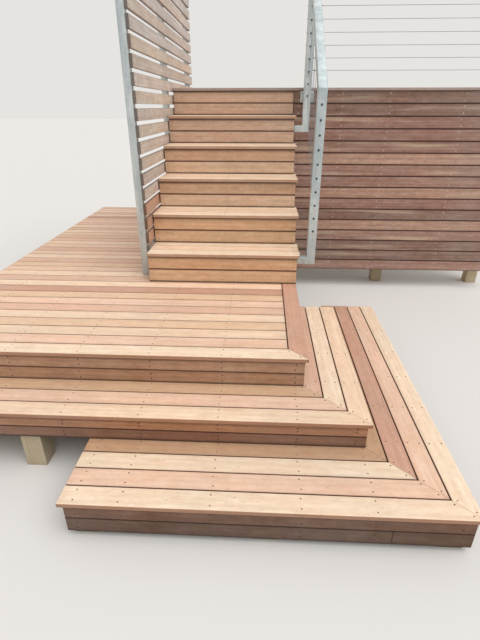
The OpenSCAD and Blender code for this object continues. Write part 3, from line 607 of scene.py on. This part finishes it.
# Painted shade behind the gaps: bitumen black like building paper, matt, creased and dusty
gap_shade_sheet = bpy.data.materials.new("black_gap_shade_sheet")
gap_shade_sheet.use_nodes = True
tree = gap_shade_sheet.node_tree
tree.nodes.clear()
spot = add(tree, "TexCoord").outputs["Object"]
dust = add(tree, "TexNoise", {"Scale": 1000 / crease_mm, "Detail": 4.0}, {"Vector": spot}).outputs[0]
dusty = add(tree, "Mix", {"data_type": "RGBA", 6: linear("#1f1e1d"), 7: linear("#3b3733")}, {0: dust})
crease = add(tree, "Bump", {"Strength": 0.5, "Distance": 0.0006}, {"Height": dust})
skin = add(tree, "BsdfPrincipled", {"Roughness": 0.85},
           {"Base Color": dusty.outputs[2], "Normal": crease.outputs[0]})
add(tree, "OutputMaterial", {}, {"Surface": skin.outputs[0]})
ends = sorted((low.x, high.x) for low, high in battens)
bm = bmesh.new()
for lower_board, upper_board in zip(boards, boards[1:]):
    middle_z = (lower_board[1].z + upper_board[0].z) / 2
    # Above the battens the deck's bearer closes the joints
    if middle_z + strip_wide / 2 > battens[0][1].z:
        continue
    for (_, start), (end, _) in zip(ends, ends[1:]):
        made = bmesh.ops.create_cube(bm, size=1.0)["verts"]
        bmesh.ops.scale(bm, vec=(end - start - 2 * strip_clear, strip_thick, strip_wide), verts=made)
        at = Vector(((start + end) / 2, lower_board[1].y + strip_thick / 2, middle_z))
        bmesh.ops.translate(bm, vec=at, verts=made)
finished("cladding_gap_shade_strips", bm, gap_shade_sheet, "cladding")

# Screen posts. Square hollow sections of hot-dip galvanised steel, 44 mm, with rounded corners.
# Three of them stand on the landing, beside and behind the flight.
tube_corner = 0.004
smooth_angle = math.radians(40)


def galvanised(name, colour, rough):
    """Hot-dip galvanised steel: pale blue-grey zinc in soft crystals, with whiter runs. Nearly matt, it
    mirrors nothing, and the light dulls and brightens over it in clouds."""
    crystal_mm, cloud_mm, grit_mm = 14, 70, 4
    made = bpy.data.materials.new(name)
    made.use_nodes = True
    tree = made.node_tree
    tree.nodes.clear()
    spot = add(tree, "TexCoord").outputs["Object"]
    crystal = add(tree, "TexVoronoi", {"Scale": 1000 / crystal_mm}, {"Vector": spot})
    grade = add(tree, "RGBToBW", {}, {"Color": crystal.outputs["Color"]})
    spangle = add(tree, "MapRange", {"To Min": 0.92, "To Max": 1.05}, {"Value": grade.outputs[0]})
    runs = add(tree, "Mapping", {"Scale": (1.0, 1.0, 0.25)}, {"Vector": spot})
    cloud = add(tree, "TexNoise", {"Scale": 1000 / cloud_mm, "Detail": 5.0, "Roughness": 0.65},
                {"Vector": runs.outputs[0]})
    bloom = add(tree, "MapRange", {"From Min": 0.42, "From Max": 0.66, "To Max": 0.75},
                {"Value": cloud.outputs[0]})
    settings = {"data_type": "RGBA", 6: linear(colour), 7: linear("#dde2e1")}
    zinc = add(tree, "Mix", settings, {0: bloom.outputs[0]})
    tinted = add(tree, "VectorMath", {"operation": "SCALE"},
                 {0: zinc.outputs[2], "Scale": spangle.outputs[0]})
    dull = add(tree, "MapRange", {"To Min": rough - 0.08, "To Max": rough + 0.10},
               {"Value": cloud.outputs[0]})
    grit = add(tree, "TexNoise", {"Scale": 1000 / grit_mm, "Detail": 2.0}, {"Vector": spot})
    bump = add(tree, "Bump", {"Strength": 0.35, "Distance": 0.0002}, {"Height": grit.outputs[0]})
    skin = add(tree, "BsdfPrincipled", {"Metallic": 0.6},
               {"Base Color": tinted.outputs[0], "Roughness": dull.outputs[0], "Normal": bump.outputs[0]})
    add(tree, "OutputMaterial", {}, {"Surface": skin.outputs[0]})
    return made


def tube(node, material):
    """The steel of a CAD node with the rounded corners of rolled hollow section."""
    bm = merged(node)
    sharp = [e for e in bm.edges if e.calc_face_angle(0.0) > sharp_angle]
    bmesh.ops.bevel(bm, geom=sharp, offset=tube_corner, segments=3, profile=0.5, affect="EDGES", material=-1)
    piece = finished(node + "_tube", bm, material, "galvanised_steel", node)
    piece.data.shade_smooth()
    piece.data.set_sharp_from_angle(angle=smooth_angle)


zinc = galvanised("hot_dip_galvanised_steel", "#b3bec0", 0.5)
screen_posts = ("screen_front_post", "screen_middle_post", "screen_back_post")
for node in screen_posts:
    tube(node, zinc)

# Screen slats. Sawn hardwood slats, 65 by 19 mm, screwed to the steel posts; most have gone grey
# and a few low ones are newer and still tan.
bleached, silver, straw, fresh, ash = "#dfd4ca", "#d5cbc2", "#e0d4c6", "#d3aa8f", "#d6d1cd"
slat_tones = [silver, silver, fresh, fresh, fresh, bleached, silver, straw, bleached, straw, silver, straw,
              bleached, silver, straw, ash, silver, ash, bleached, ash, ash, silver, ash, bleached]
slat_screw_inset = 0.016
# Weathered slats: silver-grey and furry from the saw, with dark end grain deepened by painted shade,
# painted shade along their edges, and a few knots
weathered = timber_finish("sawn_slat_weathered", bands=0.13, streaks=0.14, ring_mm=11, rings=0.08, rough=0.80,
                          relief_mm=0.4, grey=0.3, joint=0.45, ends=0.3, saw=0.5, knots=0.25)
slats = timber("screen_slats", weathered, "slats", slat_tones, decking_arris)
screen_boxes = [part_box(node) for node in screen_posts]
spots = over_supports(slats, screen_boxes, inset=slat_screw_inset, outward=1)
screw_heads("slat_screws", spots, wide_head_mm, decking_screw, screw_shade_ring)

# Balustrade. Posts and rails of the same steel, 50 mm, welded up with the stubs that hold them off
# the flight; the rake's rail meets the lower post in a mitre, and plates bolt to the deck's edge.
for node in ("stair_post_lower", "stair_post_upper", "deck_corner_post", "deck_end_post", "stair_handrail",
             "deck_top_rail"):
    tube(node, zinc)

# Balustrade bolts. Galvanised bolts with washers hold each deck post's plate to the cladding, two on
# either side of the post, and one more sits in a tread's end by the lower stub.
lower_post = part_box("stair_post_lower")
corner_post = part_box("deck_corner_post")
end_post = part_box("deck_end_post")
steel = lower_post[1].y - lower_post[0].y
plate_thick = corner_post[1].y - corner_post[0].y - steel
bolt_inset, bolt_heights = 0.0125, (0.018, 0.06)
front = Vector((0.0, -1.0, 0.0))
right = Vector((1.0, 0.0, 0.0))


def stack(bm, spot, facing, steps):
    """Turned steps one on another, outwards from a spot: sides, radius near and far, and height in mm."""
    turn = facing.to_track_quat("Z", "Y").to_matrix().to_4x4()
    done = 0.0
    for sides, near, far, height in steps:
        made = bmesh.ops.create_cone(bm, cap_ends=True, segments=sides, radius1=near / 1000,
                                     radius2=far / 1000, depth=height / 1000)
        at = spot + facing * (done + height / 2) / 1000
        bmesh.ops.transform(bm, matrix=Matrix.Translation(at) @ turn, verts=made["verts"])
        done += height


# A washer, a hexagon head and the head's chamfer
bolt = [(16, 9.5, 9.5, 1.6), (6, 8.5, 8.5, 5.5), (6, 8.5, 7.2, 1.0)]
bm = bmesh.new()
for low, high in (corner_post, end_post):
    for x in (low.x + bolt_inset, high.x - bolt_inset):
        for height in bolt_heights:
            stack(bm, Vector((x, high.y - plate_thick, low.z + height)), front, bolt)
low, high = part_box("tread_1")
beside_stub = Vector((high.x, lower_post[0].y + steel / 2, (low.z + high.z) / 2))
stack(bm, beside_stub, right, bolt)
finished("balustrade_bolts", bm, zinc, "galvanised_steel")

# Balustrade welds. Beads of weld run round the stubs where they meet the posts, under both rails and
# round the plates; they were galvanised with the steel and have its colour.
upper_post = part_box("stair_post_upper")
stub_high, plate_high, sunk = 0.045, 0.077, 0.0012


def weld(bm, corners, bead=0.0045):
    """A closed run of weld bead from corner to corner."""
    for start, end in zip(corners, corners[1:] + corners[:1]):
        run = end - start
        made = bmesh.ops.create_cone(bm, cap_ends=True, segments=8, radius1=bead / 2, radius2=bead / 2,
                                     depth=run.length)
        turn = run.to_track_quat("Z", "Y").to_matrix().to_4x4()
        bmesh.ops.transform(bm, matrix=Matrix.Translation((start + end) / 2) @ turn, verts=made["verts"])


bm = bmesh.new()
for low, high in (lower_post, upper_post):
    y0, y1, z0, z1 = low.y + sunk, high.y - sunk, low.z + sunk, low.z + stub_high
    weld(bm, [Vector((high.x - steel, y, z)) for y, z in ((y0, z0), (y1, z0), (y1, z1), (y0, z1))])
low, high = lower_post
x0, x1, y0, y1 = high.x - steel + sunk, high.x - sunk, low.y + sunk, high.y - sunk
fall = steel * math.tan(rake)
weld(bm, [Vector(c) for c in ((x0, y0, high.z - fall), (x1, y0, high.z - fall), (x1, y1, high.z),
                              (x0, y1, high.z))])
for low, high in (corner_post, end_post):
    x0, x1 = (low.x + high.x - steel) / 2 + sunk, (low.x + high.x + steel) / 2 - sunk
    y0, y1 = low.y + sunk, low.y + steel - sunk
    weld(bm, [Vector((x, y, high.z)) for x, y in ((x0, y0), (x1, y0), (x1, y1), (x0, y1))])
    z0, z1 = low.z, low.z + plate_high
    weld(bm, [Vector((x, high.y - plate_thick, z)) for x, z in ((x0, z0), (x1, z0), (x1, z1), (x0, z1))])
finished("balustrade_welds", bm, zinc, "galvanised_steel")

# Wires. Stranded stainless wire, 3.2 mm, pulled tight from post to post: raked ones beside the flight
# and level ones along the deck.
lay_mm = 4
# Stranded wire: the strands' twist drawn into the colour as slanting light and dark stripes, painted
# highlight and shade that read as a dull glint from afar
strand = bpy.data.materials.new("stranded_stainless_wire")
strand.use_nodes = True
tree = strand.node_tree
tree.nodes.clear()
lay = add(tree, "TexWave", {"bands_direction": "DIAGONAL", "Scale": wave_period / (lay_mm / 1000)},
          {"Vector": add(tree, "TexCoord").outputs["Object"]})
tint = add(tree, "MapRange", {"To Min": 0.55, "To Max": 1.0}, {"Value": lay.outputs["Fac"]})
stainless = linear("#93979a")[:3]
bright = add(tree, "VectorMath", {"operation": "SCALE", 0: stainless}, {"Scale": tint.outputs[0]})
skin = add(tree, "BsdfPrincipled", {"Metallic": 1.0, "Roughness": 0.35}, {"Base Color": bright.outputs[0]})
add(tree, "OutputMaterial", {}, {"Surface": skin.outputs[0]})
for node in ("stair_wires", "deck_wires"):
    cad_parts[node].data.materials.clear()
    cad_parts[node].data.materials.append(strand)

# Wire terminals. Stainless studs, swaged on the wires, pass through the posts and end in washers and
# dome nuts. Each is a stack of turned steps: sides, radius near and far, and height in mm.
nut = [(12, 6.5, 6.5, 1.2), (6, 5.0, 5.0, 3.5), (10, 4.3, 3.6, 1.4), (10, 3.6, 1.6, 1.2)]
swage = [(10, 3.0, 3.0, 42.0), (10, 3.0, 1.7, 6.0)]
# Tarnished terminals: dark with dirt, so that they read as dots on the pale posts
terminal = metal_finish("wire_terminal_tarnished", "#5a6067", "#3c4147", 0.8, 0.45)
bm = bmesh.new()
wires = merged("stair_wires")
# The raked wires run on through the upper post, where they have a washer in front and no stud
for solid in solids(wires):
    low, high = span([v.co for v in solid])
    half_plumb = (high.x - low.x) / 2 / math.cos(rake)
    start = Vector(((low.x + high.x) / 2, low.y, low.z + half_plumb))
    end = Vector((start.x, high.y, high.z - half_plumb))
    along = (end - start).normalized()
    if low.y < upper_post[0].y:
        stack(bm, start - along * steel / along.y, front, nut)
        stack(bm, start, along, swage)
        stack(bm, end, front, nut[:1])
    else:
        stack(bm, end, -along, swage)
        stack(bm, end + along * steel / along.y, -front, nut)
wires.free()
wires = merged("deck_wires")
for solid in solids(wires):
    low, high = span([v.co for v in solid])
    start = Vector((low.x, (low.y + high.y) / 2, (low.z + high.z) / 2))
    end = Vector((high.x, start.y, start.z))
    stack(bm, start, right, swage)
    stack(bm, end, -right, swage)
    stack(bm, start - right * steel, -right, nut)
    stack(bm, end + right * steel, right, nut)
wires.free()
finished("wire_terminals", bm, terminal, "wire")

# Studio. A plain matt floor at ground level, a pale surround that the camera and bright metal see,
# and one broad soft light from above, a little from the front and the right.
floor_colour, surround_colour, surround_glow = "#dfdcd8", "#e6e4e1", "#ffffff"
floor_half = 60
surround_light, lamp_light = 0.6, 1.9
lamp_spread, lamp_lean = math.radians(60), math.radians(20)
bm = bmesh.new()
bmesh.ops.create_grid(bm, x_segments=1, y_segments=1, size=floor_half)
mesh = bpy.data.meshes.new("floor")
bm.to_mesh(mesh)
bm.free()
floor = bpy.data.objects.new("floor", mesh)
bpy.context.scene.collection.objects.link(floor)
# Plain floor: matt and pale, so that only the object's shadow shows on it
plain = bpy.data.materials.new("plain_floor")
plain.use_nodes = True
skin = plain.node_tree.nodes["Principled BSDF"]
skin.inputs["Base Color"].default_value = linear(floor_colour)
skin.inputs["Roughness"].default_value = 0.9
mesh.materials.append(plain)

# The surround gives less light than it shows, so that the object isn't washed out
world = bpy.data.worlds.new("surround")
bpy.context.scene.world = world
world.use_nodes = True
tree = world.node_tree
tree.nodes.clear()
path = add(tree, "LightPath")
seen = add(tree, "Math", {"operation": "MAXIMUM"},
           {0: path.outputs["Is Camera Ray"], 1: path.outputs["Is Glossy Ray"]})
seen = add(tree, "Math", {"operation": "MAXIMUM"},
           {0: seen.outputs[0], 1: path.outputs["Is Transmission Ray"]})
glow = add(tree, "Background", {"Color": linear(surround_glow), "Strength": surround_light})
sight = add(tree, "Background", {"Color": linear(surround_colour), "Strength": 1.0})
both = add(tree, "MixShader", {}, {0: seen.outputs[0], 1: glow.outputs[0], 2: sight.outputs[0]})
add(tree, "OutputWorld", {}, {"Surface": both.outputs[0]})

lamp = bpy.data.lights.new("soft_sky", "SUN")
lamp.energy = lamp_light
lamp.angle = lamp_spread
sky = bpy.data.objects.new("soft_sky", lamp)
sky.rotation_euler = (lamp_lean, lamp_lean, 0.0)
bpy.context.scene.collection.objects.link(sky)

# Camera. It is held before the steps, nearly 1.5 m over the ground, and looks down and slightly to
# the left.
held_at = (-0.1232, -2.9447, 1.4584)
looks_down, turned_left = 0.4535, 0.0496
film_high, focal_length = 36.0, 24.62
lens = bpy.data.cameras.new("camera")
lens.sensor_fit = "VERTICAL"
lens.sensor_height = film_high
lens.lens = focal_length
camera = bpy.data.objects.new("camera", lens)
camera.location = held_at
camera.rotation_euler = (math.pi / 2 - looks_down, 0.0, turned_left)
bpy.context.scene.collection.objects.link(camera)
bpy.context.scene.camera = camera
bpy.context.scene.view_settings.view_transform = "Standard"
